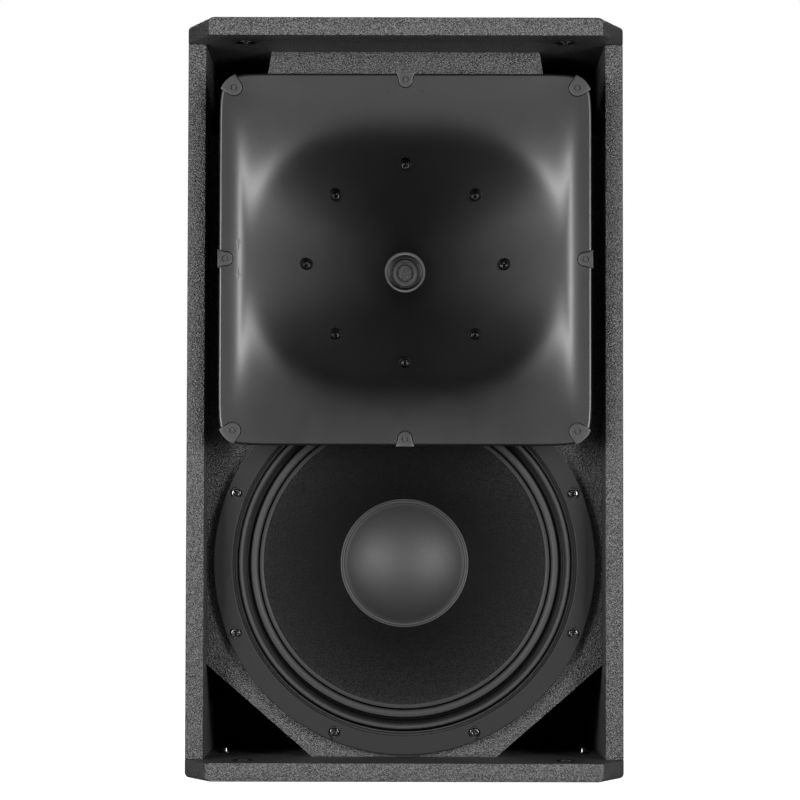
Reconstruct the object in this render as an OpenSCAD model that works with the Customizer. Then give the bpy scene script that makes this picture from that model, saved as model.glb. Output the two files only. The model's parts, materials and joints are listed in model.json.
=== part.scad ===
// Two-way loudspeaker cabinet with a 15-inch woofer and a square turnable horn, grille off.
// Millimetres. The front faces -Y, +Z is up, the origin is the centre of the base.

/* [Cabinet] */
// Width over the side panels
cab_w = 437; // [430:1:450]
// Height over the top and bottom panels
cab_h = 753; // [745:1:790]
// Depth over the top and bottom panels
cab_d = 450; // [430:1:500]
// Thickness of the plywood boards
board_t = 18; // [15:1:18]
// Width of the straight front edge of the top and bottom panels
front_edge_w = 390; // [370:1:420]
// Distance from the front edge back to the side panels
side_setback = 57; // [40:1:70]
// Distance from the front edge back to the baffle
baffle_setback = 107; // [100:1:112]
// Distance from the back edge in to the back panel
back_inset = 6; // [6:1:20]

/* [Ports] */
// Thickness of the port boards
port_board_t = 12; // [9:1:15]
// Height of the lower corner ports
lower_port_h = 93; // [80:1:100]
// Width of the lower corner ports
lower_port_w = 107; // [90:1:115]
// Height of the upper corner ports
upper_port_h = 85; // [60:1:95]
// Width of the upper corner ports at the top
upper_port_w = 63.5; // [50:0.5:64]
// How far the upper ports narrow towards their floor
upper_port_lean = 13; // [5:1:20]
// Length of the port ducts behind the baffle
port_len = 230; // [150:1:260]

/* [Woofer] */
// Height of the woofer's centre
woofer_z = 213.5; // [213:0.5:220]
// Radius of the woofer's frame
frame_r = 193.5; // [190:0.5:194]
// Radius of the woofer's cut-out in the baffle
woofer_hole_r = 177; // [176:0.5:179]
// Radius of the woofer's bolt circle
woofer_bolt_r = 184.4; // [183:0.2:186]
// Outer radius of the cone
cone_r = 145.5; // [140:0.5:147]
// Radius of the dust cap with its glued rim
dust_cap_r = 66; // [60:1:70]

/* [Horn] */
// Height of the horn's centre
horn_z = 515; // [514:0.5:518]
// Width and height of the horn's mouth
horn_size = 370; // [360:1:372]
// Corner radius of the horn's mouth
horn_corner_r = 24; // [15:1:30]
// Distance from the baffle forward to the horn's mouth
horn_reach = 87; // [80:1:90]
// Depth of the bell from mouth to throat
bell_depth = 150; // [145:1:152]
// Wall thickness of the bell, along the axis
bell_wall = 5; // [4:0.5:6]
// Radius of the throat
throat_r = 21; // [18:0.5:22]
// Radius of the horn's screw circle
horn_screw_r = 100; // [98:0.5:102]

/* [Fittings] */
// Side-to-side spacing of the rigging points
rig_x = 320; // [300:1:330]
// Front-to-back spacing of the rigging points
rig_y = 366; // [350:1:370]
// Radius of the rigging inserts' threaded hole
rig_hole_r = 4.25; // [3.5:0.05:4.5]
// Width of the input dish's flange
dish_w = 200; // [180:1:220]
// Height of the input dish's flange
dish_h = 130; // [110:1:150]
// Height of the input dish's centre
dish_z = 250; // [240:1:320]
// Travel of the mode switch
switch_travel = 6; // [3:0.5:8]

/* [Hidden] */
$fn = 96;
eps = 0.1;
half_w = cab_w / 2;
inner_x = half_w - board_t;
y_front = -cab_d / 2;
y_back = cab_d / 2;
y_side = y_front + side_setback;
y_baffle = y_front + baffle_setback;
y_duct = y_baffle + board_t;
y_panel = y_back - back_inset - board_t;
top_z = cab_h - board_t;

// Fit clearances
loose = 0.1;
glued_gap = 0.3;
wire_gap = 0.05;

// Panel joints and framing
batten = 18;
batten_low_gap = 20;
batten_high_gap = 4;
brace_z = 402;
brace_rail = 40;
insert_r = 7;
insert_flange_r = 9;
insert_flange_t = 1.5;
base_insert_x = 184;
base_insert_y = y_baffle + 61;
base_insert_r = 5;
base_flange_r = 7;
base_bolt_r = 3;
base_bolt_tip = 5;
base_socket_r = 1.7;

// Woofer, along its own axis: 0 is the baffle's front face, + is forward
frame_t = 5;
gasket_front = 10;
gasket_r_in = 173.8;
shell_r = 175;
shell_bend = -22;
shell_t = 5;
shell_lip_w = 9;
shell_lip_h = 3.2;
seat_rise = 4;
shelf_half_w = 4;
shelf_foot_w = 4;
seat_r = 104;
seat_top = -90;
seat_bottom = -96;
spider_shelf_r = 84;
spider_top = -79.7;
neck_r = 50;
neck_h = -63;
cone_edge_h = 4;
cone_edge_lift = 0.2;
paper_t = 1.5;
dome_r = 60;
dome_peak = -30;
dome_t = 1.2;
dome_steps = 16;
rim_bead_t = 1.3;
surround_r = 173.3;
surround_t = 1.1;
surround_roll = 12;
surround_rise = 3;
surround_roundness = 0.8;
first_roll_r = 153;
roll_steps = 28;
former_r = 49.9;
former_t = 0.5;
coil_r = 51.2;
coil_len = 20;
gap_bore_r = 51.8;
pole_r = 48.6;
pole_vent_r = 15;
top_plate_r = 92;
top_plate_t = 10;
magnet_r = 100;
magnet_r_in = 56;
magnet_t = 20;
back_plate_t = 10;
plate_top = seat_bottom;
magnet_top = plate_top - top_plate_t;
back_plate_top = magnet_top - magnet_t;
back_plate_bottom = back_plate_top - back_plate_t;
gap_mid = plate_top - top_plate_t / 2;
bolt_r = 2.5;
bolt_hole_gap = 0.5;
bolt_head_r = 4.2;
bolt_head_t = 4.6;
bolt_socket_r = 2.3;
bolt_socket_depth = 2.5;
bolt_well_r = 6.2;
tee_barrel_r = 4;
tee_flange_r = 8.5;
tee_flange_t = 1.5;
spokes = 8;

// Push-on terminal tabs
tab_w = 5;
tab_t = 0.8;
tab_len = 8;
tab_spacing = 14;
tab_rise = 2.5;

// Horn, along its own axis: 0 is the baffle's front face, + is forward
rim_t = 2.5;
bell_skin = 0.5;
skirt_t = 14;
skirt_h = 9;
side_slope = 0.64;
side_flare = 0.0022;
band_slope = 0.75;
side_lip_depth = 1.1;
band_lip_depth = 6;
mouth_squareness = 14.8;
mouth_squareness_depth = 2.5;
bell_squareness = 1;
mouth_half = horn_size / 2 - rim_t;
side_lip = mouth_half - throat_r - side_slope * bell_depth - side_flare * pow(bell_depth, 2);
band_lip = mouth_half - throat_r - band_slope * bell_depth;
bell_sides = 56;
bell_rings = 9;
foam_t = 1.5;
foam_inset = 2;
foot_r = 106;
foot_t = 6;
horn_hole_r = 88;
post_r = 8;
post_foot_r = 5.5;
post_foot_h = 14;
post_top_drop = 8;
well_r = 6.25;
head_r = 3.75;
head_t = 4;
head_sink = 10;
head_socket_r = 2;
head_socket_depth = 2;
screw_r = 2.4;
screw_hole_floor = 3;
screw_tip_gap = 1;
collar_r = 40;
collar_h = 17;
cap_r = 9;
cap_t = 3;
corner_cap_inset = 14;
corner_cap_reach = 5;
cap_top = horn_reach - 0.2;
tab_half_w = 9.7;
tab_end_r = 7;
tab_inset = 9;
tab_reach = 7;
cap_gap = 0.15;
throat_end = horn_reach - bell_depth - bell_wall;
screw_count = 8;
horn_fn = 24;

// Compression driver, on the horn's axis
front_plate_t = 8;
driver_r = 60;
driver_exit_r = 18.5;
driver_magnet_t = 25;
driver_magnet_r = 66;
driver_magnet_r_in = 36;
rear_plate_t = 10;
driver_gap_r = 33.5;
plug_r = 30.5;
plug_step = 1;
plug_slot_w = 3;
plug_slot_pitch = 6;
plug_slot_inset = 2;
plug_floor = 4;
mesh_t = 0.6;
driver_face = throat_end;
magnet_face = driver_face - front_plate_t;
rear_plate_face = magnet_face - driver_magnet_t;
rear_plate_back = rear_plate_face - rear_plate_t;
tweeter_coil_r = 32.6;
tweeter_coil_t = 0.9;
tweeter_coil_out = 2;
dome_sag = 12;
diaphragm_t = 0.5;
diaphragm_gap = 1.5;
diaphragm_steps = 12;
diaphragm_edge = rear_plate_back - diaphragm_gap;
hinge_w = 6;
hinge_seat_w = 2.5;
cover_r = 56;
cover_t = 3;
cover_depth = 28;
cover_back = rear_plate_back - cover_depth;
driver_terminal_drop = 30;
driver_bolt_r = 2.5;
driver_bolt_pcd_r = 32;
driver_bolt_end = 9;

// Crossover board
pcb_w = 130;
pcb_y = 45;
pcb_len = 140;
pcb_z = board_t + 8;
pcb_t = 2;
pcb_hole_x = 58;
pcb_hole_inset = 8;
pcb_hole_r = 1.6;
standoff_r = 4;
standoff_pin_r = 1.5;
standoff_cap_r = 3;
standoff_cap_t = 2;

// Input dish
dish_t = 3;
dish_flange_t = 3;
dish_lip = 10;
dish_depth = 34;
dish_y = y_back - back_inset;
dish_floor_y = dish_y - dish_depth;
socket_x = 55;
socket_r = 12;
socket_flange_r = 15;
socket_bore_r = 9.5;
dish_screw_r = 2;
dish_screw_len = 14;
dish_screw_head_r = 4;
dish_screw_head_t = 2.2;
dish_corner_r = 8;
socket_flange_t = 2.5;
socket_floor = 4;
switch_floor = 2;
switch_w = 24;
switch_h = 12;
switch_d = 9;
knob_w = 5;
knob_h = 4;
knob_out = 6;
knob_start = 2.5;

// Cables inside the cabinet
cable_r = 2.5;
cable_sides = 8;
cable_steps = 5;
input_route = [[55, 164, 250], [55, 150, 245], [50, 140, 200], [42, 140, 130],
    [38, 150, 70], [35, 159, 45], [35, 160, 28.5]];
woofer_route = [[-52, 100, 28.5], [-52, 98, 45], [-45, 75, 70], [-28, 35, 84],
    [-12, 0, 86], [-8, -18, 84], [-7, -25, 88], [-7, -25, 94.2]];
driver_route = [[55, 120, 28.5], [56, 118, 50], [70, 110, 120], [78, 100, 240],
    [74, 90, 360], [66, 80, 430], [48, 70, 455], [25, 60, 472], [6, 49, 482], [0, 39, 485],
    [0, 29.2, 485]];

// ---------- helpers ----------

// Extrudes an outline drawn in X and Z from y0 to y1
module slab(y0, y1) {
    translate([0, y1, 0]) rotate([90, 0, 0]) linear_extrude(y1 - y0) children();
}

// Places children on the woofer's axis, + forward from the baffle
module at_woofer() {
    translate([0, y_baffle, woofer_z]) rotate([90, 0, 0]) children();
}

// Places children on the horn's axis, + forward from the baffle
module at_horn() {
    translate([0, y_baffle, horn_z]) rotate([90, 0, 0]) children();
}

// Both sides of the cabinet
module both_sides() {
    children();
    mirror([1, 0, 0]) children();
}

// A rod from h0 to h1 on the local axis
module rod(r, h0, h1) {
    translate([0, 0, h0]) cylinder(r = r, h = h1 - h0);
}

// A tube from h0 to h1 on the local axis
module ring(r_out, r_in, h0, h1) {
    difference() {
        rod(r_out, h0, h1);
        rod(r_in, h0 - 1, h1 + 1);
    }
}

// A hexagonal socket from h0 to h1 on the local axis
module hex_socket(r, h0, h1) {
    translate([0, 0, h0]) cylinder(r = r, h = h1 - h0, $fn = 6);
}

// Children at the places of the woofer's bolts
module at_woofer_bolts() {
    for (k = [0 : 7]) rotate([0, 0, 22.5 + 45 * k]) translate([woofer_bolt_r, 0, 0]) children();
}

// A rectangle with round corners, made from exact shapes
module rounded_rect(w, h, r) {
    square([w, h - 2 * r], center = true);
    square([w - 2 * r, h], center = true);
    for (sx = [-1, 1], sy = [-1, 1])
        translate([sx * (w / 2 - r), sy * (h / 2 - r)]) circle(r);
}

// A closed solid through a list of rings with equal numbers of points
module loft(rings) {
    n = len(rings[0]);
    last = (len(rings) - 1) * n;
    hub = len(rings) * n;
    points = concat([for (ring = rings) each ring],
        [mean(rings[0]), mean(rings[len(rings) - 1])]);
    sides = [for (i = [0 : len(rings) - 2], k = [0 : n - 1], half = [0, 1])
        let (a = i * n + k, b = i * n + (k + 1) % n)
        half == 0 ? [a, a + n, b + n] : [a, b + n, b]];
    start = [for (k = [0 : n - 1]) [hub, k, (k + 1) % n]];
    end = [for (k = [0 : n - 1]) [hub + 1, last + (k + 1) % n, last + k]];
    polyhedron(points = points, faces = concat(start, sides, end));
}

function sum(list, i = 0) = i == len(list) - 1 ? list[i] : list[i] + sum(list, i + 1);
function mean(list) = sum(list) / len(list);

// ---------- cabinet ----------

// Plan of the top and bottom panels, with their front corners cut away
module plan() {
    polygon([[-front_edge_w / 2, y_front], [front_edge_w / 2, y_front], [half_w, y_side],
        [half_w, y_back], [-half_w, y_back], [-half_w, y_side]]);
}

module at_rigging() {
    for (sx = [-1, 1], sy = [-1, 1]) translate([sx * rig_x / 2, sy * rig_y / 2, 0]) children();
}

module top_panel() {
    color([0.16, 0.16, 0.17]) translate([0, 0, top_z]) difference() {
        linear_extrude(board_t) plan();
        at_rigging() rod(insert_r + loose, -1, board_t + 1);
    }
}

module bottom_panel() {
    color([0.16, 0.16, 0.17]) difference() {
        linear_extrude(board_t) plan();
        at_rigging() rod(insert_r + loose, -1, board_t + 1);
        both_sides() translate([base_insert_x, base_insert_y, 0])
            rod(base_insert_r + loose, -1, board_t + 1);
    }
}

module side_panel() {
    translate([inner_x, y_side, board_t])
        cube([board_t, y_back - y_side, cab_h - 2 * board_t]);
}

module left_side_panel() {
    color([0.15, 0.15, 0.16]) mirror([1, 0, 0]) side_panel();
}

module right_side_panel() {
    color([0.15, 0.15, 0.16]) side_panel();
}

module at_dish_screws() {
    for (sx = [-1, 0, 1], sz = [-1, 1])
        translate([sx * (dish_w - dish_lip) / 2, 0, dish_z + sz * (dish_h - dish_lip) / 2])
            children();
}

module back_panel() {
    opening_w = dish_w - 2 * dish_lip + 2 * loose;
    opening_h = dish_h - 2 * dish_lip + 2 * loose;
    color([0.15, 0.15, 0.16]) difference() {
        translate([-inner_x, y_panel, board_t])
            cube([2 * inner_x, board_t, top_z - board_t]);
        translate([-opening_w / 2, y_panel - 1, dish_z - opening_h / 2])
            cube([opening_w, board_t + 2, opening_h]);
        at_dish_screws() translate([0, dish_y + 1, 0]) rotate([90, 0, 0])
            rod(dish_screw_r + loose, 0, dish_screw_len + 1);
    }
}

// Right-hand corner ports, as outlines in X and Z
module lower_port_outline() {
    polygon([[inner_x, board_t], [inner_x, board_t + lower_port_h],
        [inner_x - lower_port_w, board_t]]);
}

module upper_port_outline() {
    polygon([[inner_x, top_z], [inner_x - upper_port_w, top_z],
        [inner_x - upper_port_w + upper_port_lean, top_z - upper_port_h],
        [inner_x, top_z - upper_port_h]]);
}

module front_baffle() {
    color([0.17, 0.17, 0.18]) difference() {
        slab(y_baffle, y_duct) translate([-inner_x, board_t])
            square([2 * inner_x, top_z - board_t]);
        slab(y_baffle - 1, y_duct + 1) both_sides() {
            lower_port_outline();
            upper_port_outline();
        }
        at_woofer() rod(woofer_hole_r, -board_t - 1, 1);
        at_woofer() at_woofer_bolts() rod(tee_barrel_r + loose, -board_t - 1, 1);
        at_horn() rod(horn_hole_r, -board_t - 1, 1);
        at_horn() at_horn_screws() rod(screw_r + loose, -board_t + screw_hole_floor, 1);
    }
}

module window_brace() {
    window_w = inner_x - 1.5 * brace_rail;
    window_d = y_panel - y_duct - 2 * brace_rail;
    color([0.62, 0.48, 0.32]) difference() {
        translate([-inner_x, y_duct, brace_z]) cube([2 * inner_x, y_panel - y_duct, board_t]);
        both_sides() translate([brace_rail / 2, y_duct + brace_rail, brace_z - 1])
            cube([window_w, window_d, board_t + 2]);
    }
}

// Slanting boards that close off the lower corner ducts
module lower_port_boards() {
    run = norm([lower_port_w, lower_port_h]);
    rise_z = port_board_t * run / lower_port_w;
    rise_x = port_board_t * run / lower_port_h;
    color([0.1, 0.1, 0.1]) slab(y_duct, y_duct + port_len) both_sides()
        polygon([[inner_x - lower_port_w, board_t], [inner_x, board_t + lower_port_h],
            [inner_x, board_t + lower_port_h + rise_z],
            [inner_x - lower_port_w - rise_x, board_t]]);
}

module upper_port_walls() {
    run = norm([upper_port_h, upper_port_lean]);
    thick_x = port_board_t * run / upper_port_h;
    floor_z = top_z - upper_port_h;
    top_x = inner_x - upper_port_w;
    color([0.1, 0.1, 0.1]) slab(y_duct, y_duct + port_len) both_sides()
        polygon([[top_x, top_z], [top_x + upper_port_lean, floor_z],
            [top_x + upper_port_lean - thick_x, floor_z], [top_x - thick_x, top_z]]);
}

module upper_port_floors() {
    floor_z = top_z - upper_port_h;
    start_x = inner_x - upper_port_w - port_board_t + upper_port_lean;
    color([0.1, 0.1, 0.1]) slab(y_duct, y_duct + port_len) both_sides()
        translate([start_x, floor_z - port_board_t])
            square([inner_x - start_x, port_board_t]);
}

// Glue blocks behind the baffle's side edges, below and above the brace
module baffle_battens() {
    low_z = board_t + lower_port_h + batten_low_gap;
    high_z = top_z - upper_port_h - port_board_t - batten_high_gap;
    color([0.62, 0.48, 0.32]) both_sides() {
        translate([inner_x - batten, y_duct, low_z])
            cube([batten, batten, brace_z - low_z]);
        translate([inner_x - batten, y_duct, brace_z + board_t])
            cube([batten, batten, high_z - brace_z - board_t]);
    }
}

// Flanged threaded insert, its flange on the inner face of a board
module insert(r, flange_r, bore_r, length) {
    difference() {
        union() {
            rod(r, 0, length);
            rod(flange_r, length, length + insert_flange_t);
        }
        rod(bore_r, -1, length + insert_flange_t + 1);
    }
}

module rigging_inserts_top() {
    color([0.2, 0.2, 0.21]) translate([0, 0, cab_h]) mirror([0, 0, 1])
        at_rigging() insert(insert_r, insert_flange_r, rig_hole_r, board_t);
}

module rigging_inserts_bottom() {
    color([0.2, 0.2, 0.21]) at_rigging()
        insert(insert_r, insert_flange_r, rig_hole_r, board_t);
}

module at_base_inserts() {
    both_sides() translate([base_insert_x, base_insert_y, 0]) children();
}

module base_inserts() {
    color([0.22, 0.22, 0.23]) at_base_inserts()
        insert(base_insert_r, base_flange_r, base_bolt_r + loose, board_t);
}

// Headless screws that close the base inserts
module base_bolts() {
    start = 1;
    socket_depth = 2.5;
    color([0.3, 0.3, 0.31]) at_base_inserts() difference() {
        rod(base_bolt_r, start, board_t + base_bolt_tip);
        hex_socket(base_socket_r, start - 1, start + socket_depth);
    }
}

// ---------- woofer ----------

module woofer_basket() {
    window = [[112, -30], [160, -46], [160, 46], [112, 30]];
    window_len = 80;
    color([0.12, 0.12, 0.12]) at_woofer() difference() {
        rotate_extrude() polygon([[frame_r, frame_t], [frame_r, 0], [shell_r, 0],
            [shell_r, shell_bend], [seat_r, seat_top + seat_rise], [seat_r, seat_bottom],
            [magnet_r_in, seat_bottom], [magnet_r_in, seat_top],
            [spider_shelf_r - shelf_half_w, seat_top],
            [spider_shelf_r - shelf_half_w, spider_top - glued_gap],
            [spider_shelf_r + shelf_half_w, spider_top - glued_gap],
            [spider_shelf_r + shelf_half_w + shelf_foot_w, seat_top],
            [seat_r - shell_t, seat_top], [shell_r - shell_t, shell_bend + 2],
            [shell_r - shell_t, 0], [gasket_r_in - shell_lip_w, shell_lip_h],
            [gasket_r_in, shell_lip_h], [gasket_r_in, frame_t]]);
        for (k = [0 : spokes - 1]) rotate([0, 0, 360 * k / spokes])
            translate([0, 0, seat_top + seat_rise - 1]) linear_extrude(window_len) polygon(window);
        at_woofer_bolts() rod(bolt_r + bolt_hole_gap, -1, frame_t + 1);
    }
}

module woofer_gasket() {
    color([0.3, 0.3, 0.3]) at_woofer() difference() {
        ring(frame_r, gasket_r_in, frame_t, gasket_front);
        at_woofer_bolts() rod(bolt_well_r, frame_t - 1, gasket_front + 1);
    }
}

// Height of the pleated surround at radius r
function surround_h(r) = cone_edge_h
    + surround_rise * pow(max(0, cos(360 * (r - first_roll_r) / surround_roll)), surround_roundness);

module woofer_surround() {
    step = (surround_r - cone_r) / roll_steps;
    top = [for (k = [0 : roll_steps]) let (r = cone_r + k * step) [r, surround_h(r) + surround_t]];
    under = [for (k = [roll_steps : -1 : 0]) let (r = cone_r + k * step) [r, surround_h(r)]];
    color([0.1, 0.1, 0.1]) at_woofer() rotate_extrude() polygon(concat(top, under));
}

// Height of the cone's front face at radius r
function cone_h(r) = neck_h + paper_t
    + (cone_edge_h + cone_edge_lift - neck_h) * (r - neck_r) / (cone_r - neck_r);

module woofer_cone() {
    color([0.13, 0.13, 0.13]) at_woofer() rotate_extrude() polygon([
        [neck_r, cone_h(neck_r)], [neck_r, cone_h(neck_r) - paper_t],
        [cone_r, cone_h(cone_r) - paper_t], [cone_r, cone_h(cone_r)]]);
}

// Radius of the sphere that the dome is cut from, and height of its skin at radius r
dome_edge = cone_h(dome_r) + 2;
dome_sphere_r = (pow(dome_r, 2) + pow(dome_peak - dome_edge, 2)) / (2 * (dome_peak - dome_edge));
function dome_h(r) = dome_peak - dome_sphere_r + sqrt(pow(dome_sphere_r, 2) - pow(r, 2));

module woofer_dust_cap() {
    outer = [for (k = [0 : dome_steps]) let (r = dome_r * k / dome_steps) [r, dome_h(r)]];
    inner = [for (k = [dome_steps : -1 : 0]) let (r = (dome_r - 1) * k / dome_steps)
        [r, dome_h(r) - dome_t]];
    rim = [[dust_cap_r, cone_h(dust_cap_r) + rim_bead_t], [dust_cap_r, cone_h(dust_cap_r) + eps],
        [dome_r, cone_h(dome_r) + eps]];
    color([0.25, 0.25, 0.26]) at_woofer() rotate_extrude() polygon(concat(outer, rim, inner));
}

module woofer_coil_former() {
    color([0.55, 0.4, 0.15]) at_woofer()
        ring(former_r, former_r - former_t, gap_mid - coil_len / 2 - 1, neck_h + 1);
}

module woofer_voice_coil() {
    color([0.72, 0.42, 0.2]) at_woofer()
        ring(coil_r, former_r + wire_gap, gap_mid - coil_len / 2, gap_mid + coil_len / 2);
}

// Corrugated suspension that centres the coil
module woofer_spider() {
    t = 0.8;
    wave = 1.5;
    pitch = 9;
    steps = 32;
    r_out = spider_shelf_r + 3;
    wave_end = spider_shelf_r - 5;
    radii = [for (k = [0 : steps]) neck_r + (r_out - neck_r) * k / steps];
    heights = [for (r = radii)
        spider_top + (r > wave_end ? 0 : wave * (1 - cos(360 * (wave_end - r) / pitch)))];
    top = [for (k = [0 : steps]) [radii[k], heights[k] + t]];
    under = [for (k = [steps : -1 : 0]) [radii[k], heights[k]]];
    color([0.78, 0.62, 0.3]) at_woofer() rotate_extrude() polygon(concat(top, under));
}

module woofer_top_plate() {
    color([0.35, 0.35, 0.36]) at_woofer() ring(top_plate_r, gap_bore_r, magnet_top, plate_top);
}

module woofer_magnet() {
    color([0.2, 0.2, 0.2]) at_woofer() ring(magnet_r, magnet_r_in, back_plate_top, magnet_top);
}

module woofer_pole_plate() {
    color([0.35, 0.35, 0.36]) at_woofer() difference() {
        union() {
            rod(top_plate_r, back_plate_bottom, back_plate_top);
            rod(pole_r, back_plate_top, plate_top);
        }
        rod(pole_vent_r, back_plate_bottom - 1, plate_top + 1);
    }
}

// Terminal block with two tabs on the basket's seat
module woofer_terminals() {
    block_w = 24;
    block_t = 7;
    block_h = 6;
    color([0.25, 0.1, 0.08]) at_woofer() rotate([0, 0, -90]) {
        translate([seat_r + loose, -block_w / 2, seat_bottom])
            cube([block_t, block_w, block_h]);
        for (s = [-1, 1])
            translate([seat_r + block_t + loose, (s * tab_spacing - tab_w) / 2, seat_bottom + tab_rise])
                cube([tab_len, tab_w, tab_t]);
    }
}

module woofer_bolts() {
    color([0.45, 0.45, 0.46]) at_woofer() at_woofer_bolts() difference() {
        union() {
            rod(bolt_r, -board_t, frame_t);
            rod(bolt_head_r, frame_t, frame_t + bolt_head_t);
        }
        hex_socket(bolt_socket_r, frame_t + bolt_head_t - bolt_socket_depth,
            frame_t + bolt_head_t + 1);
    }
}

module woofer_tee_nuts() {
    barrel_len = 11;
    color([0.6, 0.6, 0.58]) at_woofer() at_woofer_bolts() difference() {
        union() {
            rod(tee_barrel_r, -board_t, -board_t + barrel_len);
            rod(tee_flange_r, -board_t - tee_flange_t, -board_t);
        }
        rod(bolt_r + eps, -board_t - tee_flange_t - 1, 0);
    }
}

// ---------- horn ----------

// Half width, half height and squareness of the bell at depth d behind the mouth
function bell_half_w(d) = throat_r + side_slope * (bell_depth - d)
    + side_flare * pow(bell_depth - d, 2) + side_lip * exp(-d / side_lip_depth);
function bell_half_h(d) = throat_r + band_slope * (bell_depth - d)
    + band_lip * exp(-d / band_lip_depth);
function bell_power(d) = 2 + mouth_squareness * exp(-d / mouth_squareness_depth)
    + bell_squareness * (1 - d / bell_depth);

// Distance from the axis to the bell's wall at angle t and depth d
function bell_r(d, t, grow) = let (p = bell_power(d))
    pow(pow(abs(cos(t)) / (bell_half_w(d) + grow), p)
        + pow(abs(sin(t)) / (bell_half_h(d) + grow), p), -1 / p);
function bell_ring(d, h, grow) = [for (k = [0 : bell_sides - 1])
    let (t = 360 * k / bell_sides, r = bell_r(d, t, grow)) [r * cos(t), r * sin(t), h]];

// The rings crowd together at the mouth, where the wall turns into the rim
bell_depths = [for (i = [bell_rings : -1 : 0]) bell_depth * pow(i / bell_rings, 2)];

module bell_inside() {
    behind = bell_ring(bell_depth, throat_end - 1, 0);
    before = bell_ring(0, horn_reach + 1, 0);
    loft(concat([behind], [for (d = bell_depths) bell_ring(d, horn_reach - d, 0)], [before]));
}

module bell_outside() {
    before = bell_ring(0, horn_reach - 1, bell_skin);
    loft(concat([for (d = bell_depths) bell_ring(d, horn_reach - bell_wall - d, bell_skin)],
        [before]));
}

// Height at which the bell's wall stands at the screw circle, by bisection
function wall_depth(t, lo, hi) = hi - lo < 0.05 ? (lo + hi) / 2
    : bell_r((lo + hi) / 2, t, 0) > horn_screw_r
        ? wall_depth(t, (lo + hi) / 2, hi) : wall_depth(t, lo, (lo + hi) / 2);
function screw_seat(t) = horn_reach - wall_depth(t, 0, bell_depth) - head_sink - head_t;

module at_horn_screws() {
    for (k = [0 : screw_count - 1]) rotate([0, 0, 45 * k]) translate([horn_screw_r, 0, 0])
        children();
}

// Round cap at each corner of the horn's flange, with its point in the corner
module corner_cap_outline(grow) {
    place = horn_size / 2 - corner_cap_inset;
    for (sx = [-1, 1], sy = [-1, 1]) in_corner(sx, sy) {
        translate([place, place]) circle(cap_r + grow);
        translate([place, place]) square(corner_cap_reach + grow);
    }
}

module in_corner(sx, sy) {
    mirror([sx < 0 ? 1 : 0, 0]) mirror([0, sy < 0 ? 1 : 0]) children();
}

// Tab at the middle of each side of the horn's flange
module edge_tab_outline(grow) {
    place = horn_size / 2 - tab_inset;
    for (k = [0 : 3]) rotate(90 * k) {
        translate([place, 0]) circle(tab_end_r + grow);
        translate([place, -tab_half_w - grow]) square([tab_reach, 2 * (tab_half_w + grow)]);
    }
}

module cap_outlines(grow) {
    corner_cap_outline(grow);
    edge_tab_outline(grow);
}

module horn() {
    $fn = horn_fn;
    color([0.13, 0.13, 0.13]) at_horn() difference() {
        union() {
            bell_outside();
            translate([0, 0, horn_reach - skirt_h]) linear_extrude(skirt_h) difference() {
                rounded_rect(horn_size, horn_size, horn_corner_r);
                rounded_rect(horn_size - 2 * skirt_t, horn_size - 2 * skirt_t,
                    horn_corner_r - skirt_t);
            }
            rod(foot_r, foam_t, foam_t + foot_t);
            at_horn_screws() rod(post_foot_r, foam_t, post_foot_h);
            at_horn_screws() rod(post_r, post_foot_h, horn_reach - post_top_drop);
            rod(collar_r, throat_end, throat_end + collar_h);
        }
        bell_inside();
        at_horn_screws() rod(screw_r + eps, 0, horn_reach);
        for (k = [0 : screw_count - 1]) rotate([0, 0, 45 * k])
            translate([horn_screw_r, 0, 0]) rod(well_r, screw_seat(45 * k), horn_reach);
        translate([0, 0, cap_top - cap_t]) linear_extrude(2 * cap_t) cap_outlines(cap_gap);
        at_driver_bolts() rod(driver_bolt_r + eps, throat_end - 1, throat_end + driver_bolt_end + 1);
    }
}

module horn_screws() {
    color([0.5, 0.5, 0.51]) at_horn() for (k = [0 : screw_count - 1])
        rotate([0, 0, 45 * k]) translate([horn_screw_r, 0, 0]) difference() {
            union() {
                rod(screw_r, screw_hole_floor + screw_tip_gap - board_t, screw_seat(45 * k));
                rod(head_r, screw_seat(45 * k), screw_seat(45 * k) + head_t);
            }
            hex_socket(head_socket_r, screw_seat(45 * k) + head_t - head_socket_depth,
                screw_seat(45 * k) + head_t + 1);
        }
}

module horn_flange_caps() {
    color([0.12, 0.12, 0.12]) at_horn() translate([0, 0, cap_top - cap_t])
        linear_extrude(cap_t) cap_outlines(0);
}

module horn_gasket() {
    color([0.08, 0.08, 0.08]) at_horn() difference() {
        ring(foot_r, horn_hole_r + foam_inset, 0, foam_t);
        at_horn_screws() rod(screw_r + eps, -1, foam_t + 1);
    }
}

// ---------- compression driver ----------

module at_driver_bolts() {
    for (k = [0 : 3]) rotate([0, 0, 45 + 90 * k]) translate([driver_bolt_pcd_r, 0, 0]) children();
}

module driver_front_plate() {
    color([0.3, 0.3, 0.31]) at_horn() difference() {
        ring(driver_r, driver_exit_r, magnet_face, driver_face);
        at_driver_bolts() rod(driver_bolt_r + eps, magnet_face - 1, driver_face + 1);
    }
}

module driver_magnet() {
    color([0.2, 0.2, 0.2]) at_horn()
        ring(driver_magnet_r, driver_magnet_r_in, rear_plate_face, magnet_face);
}

module driver_rear_plate() {
    color([0.3, 0.3, 0.31]) at_horn()
        ring(driver_r, driver_gap_r, rear_plate_back, rear_plate_face);
}

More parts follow.
